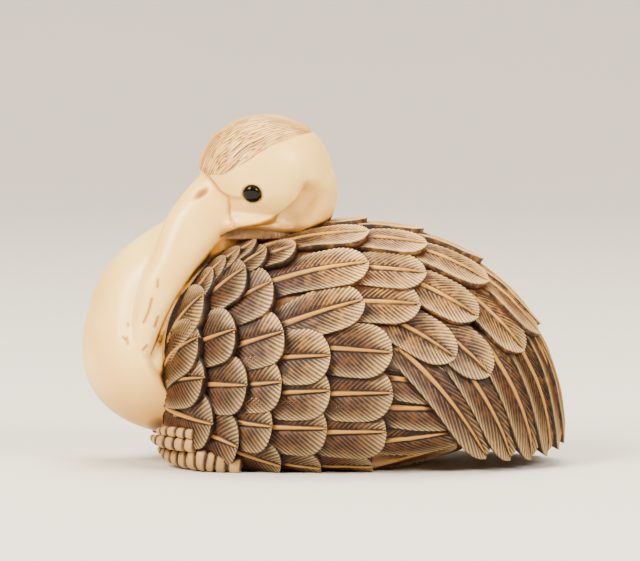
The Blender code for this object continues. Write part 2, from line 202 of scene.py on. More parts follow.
featherRows = {
    "flight": dict(
        count=5, tips=((12.3, 11.0), (14.4, 6.4), (13.0, 2.4)), heading=(-14, 8), turn=-4,
        length=(9.0, 9.0), width=(4.6, 4.6), lift=0.3, sweep=1.5, tuck=1.2, sink=2.2,
        dive=True),
    "longCoverts": dict(
        count=4, tips=((6.5, 12.2), (6.4, 6.4), (4.6, 1.0)), heading=(-4, 5), turn=-3,
        length=(7.6, 7.6), width=(5.7, 5.7), lift=0.95, sweep=1.15),
    "shortCoverts": dict(
        count=4, tips=((0.5, 12.0), (0.4, 6.8), (-0.4, 0.9)), heading=(2, 0), turn=-3,
        length=(6.8, 6.8), width=(5.7, 5.7), lift=1.1, sweep=1.15),
    "shoulderRear": dict(
        count=5, tips=((-5.1, 19.0), (-4.0, 14.3), (-4.2, 9.4), (-5.1, 5.0), (-4.3, 1.2)),
        heading=(20, -8), turn=0, length=(5.6, 5.2), width=(6.0, 5.6), lift=1.25, sweep=0.85),
    "shoulderMiddle": dict(
        count=4, tips=((-7.6, 20.2), (-8.6, 14.4), (-7.5, 9.0), (-8.4, 3.0)), heading=(20, -10),
        turn=0, length=(5.4, 5.2), width=(5.8, 6.2), lift=1.35, sweep=0.85, drape=True),
    "shoulderFront": dict(
        count=4, tips=((-11.5, 17.6), (-12.0, 13.5), (-11.6, 9.6), (-10.8, 5.1)), heading=(14, -4),
        turn=0, length=(9.0, 5.8), width=(6.4, 5.8), lift=1.5, sweep=0.85, drape=True),
    "beakSide": dict(
        count=4, tips=((-10.8, 20.0), (-8.9, 21.6), (-6.6, 22.7)), heading=(38, 20), turn=0,
        length=(5.2, 5.4), width=(4.4, 4.2), lift=0.9, sweep=1.0, drape=True),
    "napeTufts": dict(
        count=2, tips=((-2.8, 22.3), (-5.6, 21.9)), heading=(4, 16), turn=0,
        length=(4.6, 4.2), width=(3.8, 4.0), lift=1.2, sweep=1.2),
    "backFront": dict(
        count=4, tips=((4.2, 24.6), (4.3, 22.2), (3.7, 17.3)), heading=(0, 15), turn=-6, ridge=True,
        length=(8.0, 8.0), width=(5.0, 4.8), lift=1.15, sweep=1.1),
    "backMiddle": dict(
        count=4, tips=((9.8, 23.3), (10.0, 21.0), (9.2, 16.8)), heading=(-14, -2), turn=-10,
        ridge=True, length=(8.0, 7.6), width=(5.0, 4.8), lift=1.0, sweep=1.1),
    "backRear": dict(
        count=4, tips=((15.6, 20.4), (15.6, 17.0), (12.6, 11.6)), heading=(-34, -36), turn=-16,
        ridge=True, length=(8.6, 9.4), width=(5.0, 4.8), lift=1.05, sweep=1.25),
    "rump": dict(
        count=4, tips=((21.0, 13.8), (20.4, 12.6), (16.0, 9.8)), heading=(-58, -46), turn=-16,
        ridge=True, length=(8.4, 9.0), width=(5.0, 5.0), lift=1.0, sweep=1.6),
    "plumes": dict(
        count=7, tips=((23.4, 2.8), (22.6, 1.9), (20.0, 1.4), (15.6, 1.9)), heading=(-86, -58),
        turn=-26, ridge=True, length=(11.0, 14.6), width=(4.6, 3.8), lift=1.3, plumes=True, sweep=2.8,
        dive=True),
}


def rowFeathers(row):
    # One entry for each feather of a row on the bird's left, the ridge's shared one included.
    plumes = row.get("plumes", False)
    line = [sidePoint(x, z, plumes) for x, z in row["tips"]]
    if row.get("ridge"):
        x, z = row["tips"][0]
        line[0] = ontoDome([(x, 0.0, z)], plumes)[0]
    tips = ontoDome(smoothLine(line, row["count"]), plumes)
    for i, (t, tip) in enumerate(zip(np.linspace(0.0, 1.0, row["count"]), tips)):
        heading, length, width = ((1 - t) * row[k][0] + t * row[k][1] for k in ("heading", "length", "width"))
        shared = bool(row.get("ridge")) and i == 0
        yield dict(
            tip=tip, heading=heading, length=length, width=width, turn=row["turn"], sweep=row["sweep"],
            lift=row["lift"] * (feather["ridgeLift"] if shared else 1.0), plumes=plumes, shared=shared,
            sink=row.get("sink", feather["plumeSink"] if plumes else feather["rootSink"]),
            drape=row.get("drape", False), tuck=row.get("tuck", 0.0), dive=row.get("dive", False))


def featherSpine(one, steps=20):
    # The feather's middle line over the dome, from its unseen root to its tip.
    places, directions = [], []
    place = np.array(one["tip"])
    reach = one["length"] * (1 + feather["rootSpare"])
    for k in range(steps + 1):
        angle = math.radians(one["heading"] - one["turn"] * k / steps)
        normal = domeNormals(place[None], one["plumes"])[0]
        wanted = np.array((math.cos(angle), 0.0, math.sin(angle)))
        direction = unit(wanted - normal * (wanted @ normal))
        places.append(place)
        directions.append(direction)
        place = ontoDome(place - direction * reach / steps, one["plumes"])[0]
    return np.array(places[::-1]), np.array(directions[::-1])


def vaneHalfWidth(s, width):
    # Half width along the feather: narrow at the root, full past the middle, a rounded tip.
    rootWidth, tipStart = feather["rootWidth"], feather["tipStart"]
    body = rootWidth + (1 - rootWidth) * np.sin(np.clip(s / 0.5, 0.0, 1.0) * math.pi / 2)
    past = np.clip((s - tipStart) / (1.0 - tipStart), 0.0, 1.0)
    return body * (1.0 - past**2.5) ** 0.5 * width / 2


def barbEnds(roots, one):
    # Where each barb that leaves the shaft at roots meets the vane's edge, by halving.
    low, high = roots.copy(), np.ones_like(roots)
    cotangent = one["sweep"] * (1.0 + 0.5 * smoothStep(0.4, 1.0, roots))
    for _ in range(halvings):
        middle = (low + high) / 2
        short = (middle - roots) * one["length"] < vaneHalfWidth(middle, one["width"]) * cotangent
        low = np.where(short, middle, low)
        high = np.where(short, high, middle)
    return low


def featherLayout(one):
    # Half a feather's grid on the flat: a row for each ridge and groove, columns from shaft to edge.
    # s runs along the feather and t across it, both as shares.
    rowStep = feather["barbPitch"] / 2 * math.sqrt(1 + one["sweep"] ** 2) / one["length"]
    rowCount = 2 * int((1.0 + feather["rootSpare"] * 0.9) / rowStep / 2) + 1
    roots = np.linspace(feather["lastBarb"] - (rowCount - 1) * rowStep, feather["lastBarb"], rowCount)
    ends = barbEnds(roots, one)
    reach = vaneHalfWidth(ends, one["width"])
    shaftHalf = np.interp(roots, (0.0, 1.0), feather["shaftHalf"])
    inner = [np.zeros(rowCount), shaftHalf * 0.6, shaftHalf, shaftHalf + 0.12, shaftHalf + 0.28]
    across = [np.minimum(place, stop * reach) for place, stop in zip(inner, feather["shaftStops"])]
    across += [across[-1] + (reach - across[-1]) * stop for stop in feather["vaneStops"]]
    across = np.array(across).T
    t = across / np.maximum(reach[:, None], 1e-6)
    bend = feather["barbBend"]
    s = roots[:, None] + (ends - roots)[:, None] * ((1 - bend) * t + bend * t**2)
    return roots, across, s, t


def featherRelief(roots, s, t):
    # Heights over half a feather, and where its stain stays (groove), where stain and painted shade darken it
    # towards the root and beside the shaft (root), and where it is worn off and lit with a painted highlight on
    # the rims.
    # Columns 0 to 2 are the shaft, 3 is the groove beside it, and the vane follows.
    columns = t.shape[1]
    groove, bump, shaft = np.zeros((3, *t.shape))
    groove[1::2, 4:] = 1.0
    groove[:, 3] = 1.0
    # The edge column is painted part dark: painted shade on the eased edge
    groove[:, -1] = 0.7
    bump[:, :3] = feather["shaftRise"] * np.array((1.0, 0.85, 0.2))
    bump[:, 3] = -feather["shaftGroove"]
    vane = np.clip((t - t[:, 4:5]) / np.maximum(1 - t[:, 4:5], 1e-6), 0.0, 1.0)
    bump[:, 4:] += (feather["camber"] * vane**1.2 * smoothStep(-0.1, 0.35, s))[:, 4:]
    bump[1::2, 4:] -= feather["barbDepth"] * np.array([0.5] + [1.0] * (columns - 7) + [0.9, 0.0])
    bump *= (1 - 0.75 * smoothStep(0.93, 1.0, roots))[:, None]
    bump[:, -1] -= 0.12  # the edge is eased
    ridge = 1 - groove
    # Edges and tips are worn pale; the pale rims also stand for painted highlights where light catches them
    atEdge = smoothStep(0.66, 1.0, t) * (1 - 0.9 * groove)
    wearAndHighlight = np.maximum(atEdge, 0.9 * smoothStep(0.55, 0.95, s) * ridge * t)
    wearAndHighlight[:, (0, 1, 2, -1)] = 0.0
    shaft[:, :3] = (1.0, 1.0, 0.7)
    # root darkens towards the root and beside the shaft: stain, with painted shade under the covering feather
    # and beside the raised shaft
    root = np.maximum(1 - smoothStep(0.05, 0.85, s - 0.1 * t), 0.9 * (1 - smoothStep(0.0, 0.40, vane)))
    return bump, dict(groove=groove, wearAndHighlight=wearAndHighlight, root=root, shaft=shaft)


def featherHalf(one, half, spine, layout, bump, wobble):
    # Half a feather laid over the dome: its face, the foot of its edge and the face's normals.
    places, directions = spine
    _, across, s, t = layout
    plumes, sink = one["plumes"], one["sink"]
    onRidge = one["tip"][1] > -0.01
    knots = np.linspace(-feather["rootSpare"], 1.0, len(places))
    s, t = s.ravel(), t.ravel()
    centre, along = (
        np.stack([np.interp(s, knots, line[:, i]) for i in range(3)], axis=1) for line in (places, directions))
    outward = unit(np.cross(along, domeNormals(centre, plumes)))
    if not onRidge:
        outward *= np.where(outward[:, 2] < 0, 1.0, -1.0)[:, None]
    skin = ontoDome(centre + outward * (across.ravel() * half)[:, None], plumes)
    normals = domeNormals(skin, plumes)
    rise = one["lift"] * np.maximum(s * (1 + sink) - sink, 0.5 * s - sink)
    rise -= one["tuck"] * smoothStep(0.3, 1.0, s)
    if one["dive"]:
        rise -= feather["rootFall"] * smoothStep(0.03, -0.22, s)
    if not onRidge:
        rise += feather["tilt"][0] * t if half == 1 else -feather["tilt"][1] * t**2
    uneven = feather["uneven"] * np.array([noise.noise(Vector(p * 0.6 + wobble)) for p in skin])
    face = skin + normals * (feather["lift"] * rise + bump.ravel() + uneven)[:, None]
    if one["drape"]:
        face = drapedOver(breastTree, face, 0.5 * smoothStep(0.0, 0.22, s) - 0.25)
    edge = np.arange(len(bump)) * bump.shape[1] + bump.shape[1] - 1
    foot = face[edge] - normals[edge] * (feather["plumeDepth"] if plumes else feather["depth"])
    return face.reshape(*bump.shape, 3), foot, normals.reshape(*bump.shape, 3)


def acrossBoth(farHalf, nearHalf):
    # One grid across: left edge, left vane, shaft, right vane, right edge
    return np.concatenate([farHalf[:, :0:-1], nearHalf], axis=1)


def carveFeather(one, side, wobble):
    # Points, faces and values of one engraved feather, a closed shell of ridges and grooves.
    spine, layout = featherSpine(one), featherLayout(one)
    roots, _, s, t = layout
    bump, looks = featherRelief(roots, s, t)
    (near, nearFoot, nearNormals), (far, farFoot, farNormals) = (
        featherHalf(one, half, spine, layout, bump, wobble) for half in (1, -1))
    grid = acrossBoth(far, near)
    rowCount, wide = grid.shape[:2]
    count = rowCount * wide
    points = np.concatenate([grid.reshape(-1, 3), farFoot, nearFoot]) * (1, side, 1)
    faces = []
    for i in range(rowCount - 1):
        a = i * wide
        faces += [(a + j, a + j + 1, a + j + 1 + wide, a + j + wide) for j in range(wide - 1)]
        left, right = count + i, count + rowCount + i
        faces.append((a, a + wide, left + 1, left))
        faces.append((a + wide - 1, right, right + 1, a + 2 * wide - 1))
        faces.append((left, left + 1, right + 1, right))
    faces.append(tuple(range(wide)) + (count + rowCount, count))
    last = (rowCount - 1) * wide
    faces.append(tuple(range(last + wide - 1, last - 1, -1)) + (count + rowCount - 1, count + 2 * rowCount - 1))
    values = {
        key: np.concatenate([acrossBoth(look, look).ravel(), np.full(2 * rowCount, feather["foot"][key])])
        for key, look in looks.items()}
    return dict(
        points=points, faces=faces, grid=(rowCount, wide), tone=stainAndShadeTone(points),
        normals=acrossBoth(farNormals, nearNormals) * (1, side, 1), **values)


def spot(x, z, place, reach):
    # A soft round patch in side view, 1 at its place.
    return np.exp(-((x - place[0]) / reach[0]) ** 2 - ((z - place[1]) / reach[1]) ** 2)


def stainAndShadeTone(points):
    # How dark the rubbed stain and painted shade lie, 0 on the handled back to 1 on the low front and in the
    # neck's recess; the dark low parts and recess are partly painted shade
    x, z = points[:, 0], points[:, 2]
    tone = 0.50 + 0.50 * (1 - smoothStep(1.5, 13.0, z)) + 0.36 * smoothStep(-2.0, -11.0, x)
    tone -= 0.24 * smoothStep(13.0, 20.0, z) * smoothStep(-6.0, 1.0, x)
    tone += 0.70 * spot(x, z, (9.0, 6.0), (5.0, 4.5)) + 0.45 * spot(x, z, (-8.0, 21.0), (4.5, 2.6))
    tone += 0.16 * smoothStep(15.0, 20.0, x) * (1 - smoothStep(3.0, 12.0, z))
    return np.clip(tone, 0.0, 1.0)


def drapedOver(tree, points, offset):
    # Moves points of the left side out over a smooth form where it stands in front of them
    moved = points.copy()
    for i, (x, y, z) in enumerate(points):
        hit = tree.ray_cast(Vector((x, -rayReach / 2, z)), Vector((0.0, 1.0, 0.0)), rayReach)[0]
        if hit is not None:
            moved[i, 1] = min(y, hit.y - offset[i])
    return moved


def carveSide(side):
    # Every engraved feather of one side; the ridge's shared ones go with the left.
    made = []
    for row in featherRows.values():
        for one in rowFeathers(row):
            if one["shared"] and side == -1:
                continue
            wobble = rng.uniform(-50, 50, 3)
            one["heading"] += rng.uniform(-1.5, 1.5)
            made.append(carveFeather(one, side, wobble))
    return made


# Smooth forms: neck, head, beak, breast and legs
neckLine = (
    (-5.0, 0.0, 8.4, 4.8), (-10.0, 0.2, 8.0, 5.2), (-14.8, 0.5, 8.3, 5.6), (-18.1, 0.6, 10.9, 6.2),
    (-18.3, 0.6, 16.4, 4.9), (-15.5, 0.5, 20.1, 4.2), (-11.4, 0.2, 22.6, 3.6), (-6.4, -0.2, 24.0, 2.9),
    (-2.5, -0.7, 25.5, 2.9), (-1.5, -1.2, 28.4, 2.7), (-3.4, -1.4, 31.2, 2.6))
neckBreadth = 1.22
beakLine = (
    (-8.6, -1.7, 29.0, 2.7, 2.0), (-10.4, -2.2, 27.1, 3.1, 2.4), (-13.1, -3.2, 23.9, 2.95, 2.3),
    (-14.9, -4.2, 20.6, 2.35, 2.1), (-16.5, -4.9, 17.6, 2.0, 1.8), (-17.6, -5.3, 14.5, 1.5, 1.5),
    (-18.2, -5.5, 11.6, 1.0, 1.15), (-18.5, -5.45, 9.6, 0.6, 0.8), (-18.7, -5.2, 7.9, 0.25, 0.45))
headCentre = np.array((-5.9, -1.4, 29.8))
headReach = np.array((6.6, 5.3, 5.7))
breastCentre = (-12.4, 0.3, 13.0)
breastReach = (6.0, 7.2, 9.0)
throatCentre = (-7.0, -0.9, 24.4)  # fills the fold between the cheek and the back
throatReach = (5.6, 4.6, 2.4)
napeCentre = (-3.0, -0.9, 26.3)  # and the inside of the neck's last bend
napeReach = (3.3, 3.7, 3.0)
tipCentre = (-16.6, -2.6, 10.2)  # the neck's swelling beside the beak's tip, over the front feathers
tipReach = (1.8, 3.3, 3.6)
legBands = (  # side-view places and half thickness: shank, folded shank, toes
    dict(path=((-16.3, 3.8, 0.30), (-15.4, 3.95, 0.46), (-14.0, 3.95, 0.52), (-12.6, 3.9, 0.5)), ribs=5),
    dict(path=((-17.0, 2.95, 0.28), (-16.1, 2.9, 0.60), (-14.4, 2.85, 0.68), (-12.5, 2.8, 0.7)), ribs=6),
    dict(path=((-16.3, 1.95, 0.28), (-15.3, 1.55, 0.75), (-13.9, 1.35, 0.95), (-12.3, 1.3, 1.0)), ribs=6),
    dict(path=((-12.9, 1.55, 1.2), (-11.6, 1.5, 1.25), (-10.2, 1.25, 1.1), (-8.0, 1.0, 0.9)), ribs=5),
)


def ringRound(centre, along, upReach, acrossReach, segments, power=2.0):
    up = unit(np.cross(along, (0.0, 1.0, 0.0)))
    out = unit(np.cross(up, along))
    angle = np.linspace(0.0, math.tau, segments, endpoint=False)
    c, s = np.cos(angle), np.sin(angle)
    c = np.sign(c) * np.abs(c) ** (2 / power)
    s = np.sign(s) * np.abs(s) ** (2 / power)
    return centre + up * (upReach * c)[:, None] + out * (acrossReach * s)[:, None]


def tube(rings):
    # Points and faces of a closed skin through rings of equally many points.
    rings = np.array(rings)
    n, m = rings.shape[:2]
    faces = [
        (i * m + j, i * m + (j + 1) % m, (i + 1) * m + (j + 1) % m, (i + 1) * m + j)
        for i in range(n - 1) for j in range(m)
    ]
    faces += [tuple(range(m)), tuple(range((n - 1) * m, n * m))]
    return rings.reshape(-1, 3), faces


def sweptForm(line, rings, segments, power=2.0, bendRoom=0.5):
    line = smoothLine(line, rings)
    along = np.gradient(line[:, :3], axis=0)
    speed = np.linalg.norm(along, axis=1)[:, None]
    along = along / speed
    bend = np.gradient(along, axis=0) / speed
    sharpness = np.linalg.norm(bend, axis=1)
    window = max(2, rings // 12)
    made = []
    for i, (station, direction, turn) in enumerate(zip(line, along, bend)):
        ring = ringRound(station[:3], direction, station[3], station[4], segments, power)
        inward = unit(turn)
        sharpest = sharpness[max(i - window, 0):i + window + 1].max()
        room = min(1.0, bendRoom / max(sharpest * station[3], 1e-9))
        reach = np.maximum((ring - station[:3]) @ inward, 0.0)
        made.append(ring - inward * (reach * (1 - room))[:, None])
    return tube(made)


def roundUp(polar, turn):
    # Outward directions of one ring of a sphere, at the angle polar from its top.
    out, up = math.sin(polar), np.full(len(turn), math.cos(polar))
    return np.stack([out * np.cos(turn), out * np.sin(turn), up], axis=1)


def ovalForm(centre, reach, segments=96, rings=48):
    polar = np.linspace(0.02, math.pi - 0.02, rings)
    turn = np.linspace(0.0, math.tau, segments, endpoint=False)
    return tube([roundUp(p, turn) * reach + centre for p in polar])


def domeForm(segments=160, rings=90):
    # The body's dome, a little under the feathers above the belly, so that no bare gap stands proud.
    polar = np.linspace(0.01, math.pi - 0.01, rings)
    turn = np.linspace(0.0, math.tau, segments, endpoint=False)
    start = np.array((dome["centre"][0], 0.0, dome["spine"][2]))
    made = []
    for p in polar:
        face = alongRays(np.tile(start, (segments, 1)), roundUp(p, turn))
        sink = 0.15 + 0.60 * smoothStep(0.8, 2.4, face[:, 2])
        made.append(face - domeNormals(face) * sink[:, None])
    return tube(made)


def legForm(band, side):
    # One band of a folded leg: flat-topped scutes with narrow dark cuts between them
    leg = dict(perScute=12, segments=28, cut=0.24, cutHalf=0.15, squareness=2.5, stand=0.25)
    rings = band["ribs"] * leg["perScute"] + 1
    line = smoothLine(band["path"], rings)
    places = np.array([sidePoint(x, z) for x, z, _ in line])
    places += domeNormals(places) * leg["stand"]
    along = unit(np.gradient(places, axis=0))
    made, cuts = [], []
    for i, (place, direction, half) in enumerate(zip(places, along, line[:, 2])):
        inScute = (i % leg["perScute"]) / leg["perScute"]
        fromCut = min(inScute, 1 - inScute)
        cut = math.exp(-((fromCut / leg["cutHalf"]) ** 2))
        fromEnd = min(i, rings - 1 - i) / (rings - 1)
        radius = half * min(1.0, 0.35 + fromEnd / 0.05) - leg["cut"] * cut * min(1.0, half)
        ring = ringRound(place, direction, radius, radius, leg["segments"], leg["squareness"])
        made.append(ring * (1, side, 1))
        cuts += [cut] * leg["segments"]
    points, faces = tube(made)
    return points, faces, np.array(cuts)


def joinedForms(name, forms, voxel, smoothing):
    # The forms fused into one skin of small even faces.
    points, faces = gathered(forms)
    obj = makeMesh(name, points, faces, {}, flat=False)
    remesh = obj.modifiers.new("voxels", "REMESH")
    remesh.mode = "VOXEL"
    remesh.voxel_size = voxel * share
    remesh.use_smooth_shade = True
    smooth = obj.modifiers.new("smoothing", "SMOOTH")
    smooth.factor = 0.5
    smooth.iterations = smoothing
    return applied(obj)


def applied(obj):
    graph = bpy.context.evaluated_depsgraph_get()
    mesh = bpy.data.meshes.new_from_object(obj.evaluated_get(graph))
    old = obj.data
    obj.modifiers.clear()
    obj.data = mesh
    bpy.data.meshes.remove(old)
    return obj


def pointsOf(obj):
    flat = np.zeros(len(obj.data.vertices) * 3, np.float32)
    obj.data.vertices.foreach_get("co", flat)
    return flat.reshape(-1, 3).astype(float) / toMetres


def normalsOf(obj):
    flat = np.zeros(len(obj.data.vertices) * 3, np.float32)
    obj.data.vertex_normals.foreach_get("vector", flat)
    return unit(flat.reshape(-1, 3).astype(float))


def setPoints(obj, points):
    obj.data.vertices.foreach_set("co", (points * toMetres).astype(np.float32).ravel())
    obj.data.update()


def skinOf(obj):
    return pointsOf(obj), [tuple(p.vertices) for p in obj.data.polygons]


def lineDistance(x, z, line):
    # Distance from each side-view place to a line of places, and which side it lies on.
    line = np.array(line, float)
    place = np.stack([x, z], axis=1)
    best = np.full(len(x), 1e9)
    side = np.zeros(len(x))
    for a, b in zip(line, line[1:]):
        run = b - a
        t = np.clip(((place - a) @ run) / (run @ run), 0.0, 1.0)
        offset = place - a - t[:, None] * run
        distance = np.linalg.norm(offset, axis=1)
        closer = distance < best
        turn = run[0] * offset[:, 1] - run[1] * offset[:, 0]
        best = np.where(closer, distance, best)
        side = np.where(closer, np.sign(turn), side)
    return best, side


# What is cut into the smooth ivory, in side view: lines with their depth, half width and stain
faceLines = dict(
    beakBase=dict(depth=0.13, width=0.20, stain=0.44, stainWidth=0.18, line=(
        (-12.2, 30.0), (-11.7, 29.5), (-11.1, 28.8), (-10.4, 27.9), (-9.6, 27.3), (-9.45, 26.4), (-9.4, 25.3),
        (-8.9, 24.3))),
    eyeLine=dict(depth=0.05, width=0.30, stain=0.32, stainWidth=0.34, line=(
        (-9.6, 27.35), (-8.9, 27.2), (-8.2, 27.25))))
# The cheek's step: stain along its edge, and below it painted shade with stain
cheek = dict(depth=0.95, stain=0.55, below=0.22, line=(
    (-9.3, 23.9), (-8.6, 24.3), (-6.6, 24.75), (-5.2, 25.3), (-4.1, 25.9), (-2.9, 27.1), (-2.2, 28.2),
    (-2.2, 29.3)))
nostril = dict(place=(-12.25, 27.7), reach=(0.72, 0.30), slant=math.radians(34), depth=0.32, stain=0.60)
behindBeak = dict(  # the strip between the beak's rear edge and the feathers, darkened with stain and painted shade: that edge at each height
    stain=0.44, heights=(7.5, 9.6, 12.0, 14.5, 17.5, 20.0, 22.5, 24.5),
    edge=(-16.0, -16.2, -16.5, -15.9, -14.8, -13.2, -11.2, -9.2))
ageCracks = dict(depth=0.03, width=0.15, stain=0.55, lines=(
    ((-16.5, 19.1), (-16.55, 18.4)), ((-17.1, 17.2), (-17.4, 16.0), (-17.9, 14.8)),
    ((-16.5, 15.4), (-16.8, 14.4)), ((-17.6, 12.5), (-18.0, 12.0)), ((-19.5, 14.6), (-19.45, 14.4)),
    ((-19.6, 13.2), (-19.5, 12.6)), ((-20.0, 13.3), (-19.7, 13.0))))
eye = dict(place=(-7.2, 27.7), radius=0.90, dome=0.45, peg=1.5, seat=0.45, rim=0.05, stain=0.42)


def eyeSeat(sign):
    # Place and outward direction of an eye on the head: sign -1 is the bird's left.
    x, z = eye["place"]
    across = 1 - ((x - headCentre[0]) / headReach[0]) ** 2 - ((z - headCentre[2]) / headReach[2]) ** 2
    offset = np.array((x - headCentre[0], sign * headReach[1] * math.sqrt(across), z - headCentre[2]))
    return headCentre + offset, unit(offset / headReach**2)


def carveFace(obj):
    # Cuts the face's lines, nostrils and eye seats, and gives each point its rubbed-in stain, with painted shade
    # under the cheek's step, in the throat's fold, low on the breast and behind the beak.
    points, normals = pointsOf(obj), normalsOf(obj)
    x, _, z = points.T
    inward = np.zeros(len(points))
    nearSide = normals[:, 1] < -0.15
    eitherSide = nearSide | (normals[:, 1] > 0.15)
    onFace = (z > 23.2) & (x > -13.5) & eitherSide
    stainsAndShade = [0 * x]

    for one in faceLines.values():
        distance, _ = lineDistance(x, z, one["line"])
        inward += one["depth"] * np.exp(-(distance / one["width"]) ** 2) * onFace
        stainsAndShade.append(one["stain"] * np.exp(-(distance / one["stainWidth"]) ** 2) * onFace)

    # The cheek's step over the throat, which fades out behind the eye, with stain along its edge and painted
    # shade below it
    distance, side = lineDistance(x, z, cheek["line"])
    outside = -side * distance
    fade = onFace * (1 - smoothStep(27.4, 29.3, z))
    inward += cheek["depth"] * smoothStep(-0.1, 0.45, outside) * (1 - smoothStep(1.0, 3.6, outside)) * fade
    stainsAndShade.append(cheek["stain"] * np.exp(-((outside - 0.22) / 0.26) ** 2) * fade)
    stainsAndShade.append(cheek["below"] * smoothStep(0.1, 0.6, outside) * (1 - smoothStep(2.2, 5.0, outside)) * fade)

    # Stain with painted shade in the throat's fold, low on the breast and behind the beak; stain over the feet
    # and on the nape
    throat = (1 - smoothStep(23.2, 25.4, z)) * smoothStep(-11.0, -9.6, x) * (1 - smoothStep(-2.5, 1.0, x))
    stainsAndShade.append(0.72 * throat * (z > 21.0))
    stainsAndShade.append(0.74 * spot(x, z, (-16.3, 4.0), (1.7, 1.2)))
    stainsAndShade.append(0.31 * (1 - smoothStep(3.0, 14.0, z)))
    past = x - np.interp(z, behindBeak["heights"], behindBeak["edge"])
    strip = smoothStep(0.0, 0.5, past) * (1 - smoothStep(4.5, 6.0, past)) * nearSide
    stainsAndShade.append(behindBeak["stain"] * strip * smoothStep(8.0, 10.5, z) * (1 - smoothStep(23.5, 24.5, z)))
    stainsAndShade.append(0.32 * spot(x, z, (-1.9, 28.1), (0.9, 1.3)) * onFace)

    fromPit = np.stack([x, z], axis=1) - nostril["place"]
    c, s = math.cos(nostril["slant"]), math.sin(nostril["slant"])
    along, over = fromPit @ (c, s), fromPit @ (-s, c)
    pit = np.exp(-((along / nostril["reach"][0]) ** 2 + (over / nostril["reach"][1]) ** 2) ** 1.5)
    pit *= (z > 25) & eitherSide
    inward += nostril["depth"] * pit
    stainsAndShade.append(nostril["stain"] * np.sqrt(pit))

    for line in ageCracks["lines"]:
        distance, _ = lineDistance(x, z, line)
        thin = np.exp(-(distance / ageCracks["width"]) ** 2) * nearSide
        inward += ageCracks["depth"] * thin
        stainsAndShade.append(ageCracks["stain"] * thin)

    for sign in (-1, 1):
        place, outward = eyeSeat(sign)
        height = (points - place) @ outward
        radius = np.linalg.norm(points - place - height[:, None] * outward, axis=1)
        close = np.abs(height) < 1.5
        inward += eye["seat"] * (1 - smoothStep(0.80, 1.0, radius)) * close
        inward -= eye["rim"] * np.exp(-((radius - 1.35) / 0.25) ** 2) * close
        stainsAndShade.append(eye["stain"] * np.exp(-((radius - 0.95) / 0.16) ** 2) * close)
    setPoints(obj, points - normals * inward[:, None])
    return np.max(stainsAndShade, axis=0)


def eyeBead(name, sign):
    # A turned peg with a high domed head, its rim slightly eased.
    place, outward = eyeSeat(sign)
    angles = np.linspace(0.02, math.pi / 2, 16)
    profile = [(eye["radius"] * math.sin(a), eye["dome"] * math.cos(a)) for a in angles]
    profile += [(eye["radius"], -0.1), (eye["radius"], -eye["peg"])]
    turn = np.linspace(0.0, math.tau, 40, endpoint=False)
    first = unit(np.cross(outward, (1.0, 0.0, 0.0)))
    second = np.cross(outward, first)
    rings = [
        place + outward * h + (first * np.cos(turn)[:, None] + second * np.sin(turn)[:, None]) * r
        for r, h in profile
    ]
    points, faces = tube(rings)
    obj = makeMesh(name, points, faces, {})
    obj.data.materials.append(horn)
    return obj


# The crown's fine lines, a thin engraved patch over the head's top
crown = dict(
    slope=math.radians(37), pitch=0.31, depth=0.15, stand=0.08, under=0.45, spread=math.radians(112),
    border=((-13.5, 29.6), (-12.5, 29.9), (-11.5, 29.35), (-10.1, 29.45), (-8.75, 30.2), (-7.6, 30.85),
            (-6.4, 31.6), (-5.3, 32.45), (-4.0, 32.85), (-2.8, 33.4), (-1.0, 33.7), (0.5, 34.0)),
    columns=72)


def crownPatch():
    axis = np.array((math.cos(crown["slope"]), 0.0, math.sin(crown["slope"])))
    up = np.array((-axis[2], 0.0, axis[0]))
    lines = int(2 * crown["spread"] * headReach[1] / crown["pitch"])
    rows = 2 * lines + 1
    columns = crown["columns"]
    angles = np.linspace(-crown["spread"], crown["spread"], rows)
    half = 1 / np.linalg.norm(axis / headReach)
    stops = np.linspace(-0.97, 0.97, columns) * half
    grid = np.zeros((rows, columns, 3))
    for j, stop in enumerate(stops):
        wave = angles + 0.012 * np.sin(stop * 1.7 + angles * 5)
        start = headCentre + axis * stop
        direction = np.outer(np.cos(wave), up) + np.outer(np.sin(wave), (0.0, -1.0, 0.0))
        a = ((direction / headReach) ** 2).sum(1)
        b = 2 * ((start - headCentre) / headReach * direction / headReach).sum(1)
        c = (((start - headCentre) / headReach) ** 2).sum() - 1
        reach = (-b + np.sqrt(np.maximum(b * b - 4 * a * c, 0))) / (2 * a)
        grid[:, j] = start + direction * reach[:, None]
    normals = unit((grid - headCentre) / headReach**2)
    ridge = (np.arange(rows) % 2).astype(float)[:, None]
    broken = [[noise.noise(Vector((i * 0.37, j * 0.11, 3.0))) for j in range(columns)] for i in range(rows)]
    strength = np.clip(0.7 + 1.3 * np.array(broken), 0.05, 1.3)
    border = np.array(crown["border"])
    above = grid[..., 2] - np.interp(grid[..., 0], border[:, 0], border[:, 1])
    fromEnd = np.minimum(np.arange(rows), rows - 1 - np.arange(rows))
    inside = smoothStep(0.0, 0.22, above) * smoothStep(0.0, 3.0, fromEnd)[:, None]
    height = (crown["stand"] - crown["depth"] * (1 - ridge) * strength) * inside - 0.2 * (1 - inside)
    top = grid + normals * height[..., None]
    bottom = grid - normals * crown["under"]
    count = rows * columns
    faces = []
    for i in range(rows - 1):
        for j in range(columns - 1):
            a = i * columns + j
            faces.append((a, a + 1, a + columns + 1, a + columns))
            faces.append((count + a, count + a + columns, count + a + columns + 1, count + a + 1))
    index = np.arange(count).reshape(rows, columns)
    rim = np.concatenate([index[0], index[1:, -1], index[-1, -2::-1], index[-2:0:-1, 0]]).tolist()
    for a, b in zip(rim, rim[1:] + rim[:1]):
        faces.append((a, count + a, count + b, b))
    groove = ((1 - ridge) * strength * inside).ravel()
    return dict(
        points=np.concatenate([top.reshape(-1, 3), bottom.reshape(-1, 3)]), faces=faces,
        groove=np.concatenate([np.clip(groove, 0, 1), np.zeros(count)]))


